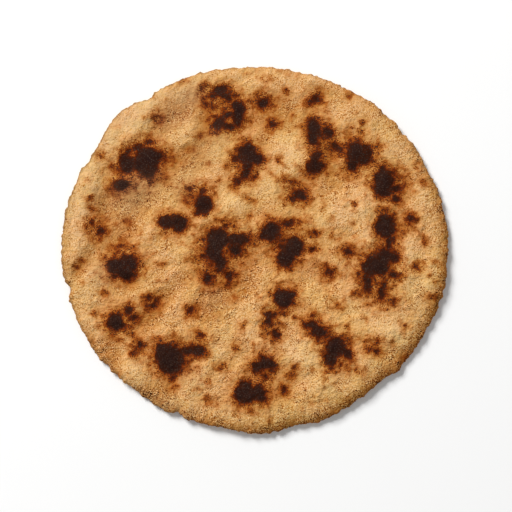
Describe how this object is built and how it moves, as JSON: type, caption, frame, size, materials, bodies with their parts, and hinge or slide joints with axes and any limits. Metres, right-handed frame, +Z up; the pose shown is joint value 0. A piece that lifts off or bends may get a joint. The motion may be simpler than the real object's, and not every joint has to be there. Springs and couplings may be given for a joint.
{
  "type": "jowar roti",
  "caption": "Round hand-patted sorghum flatbread with an uneven cracked edge, soft blisters and dark scorch marks, lying flat.",
  "frame": {"origin": "under the middle of the bread, on the plane that it rests on", "axes": "+Z up through the thickness, with the best side up; +X along the widest direction across the bread"},
  "size_m": [0.2, 0.19, 0.0079],
  "materials": {
    "crust": null
  },
  "bodies": {
    "root": {"roti": "crust"}
  },
  "joints": []
}
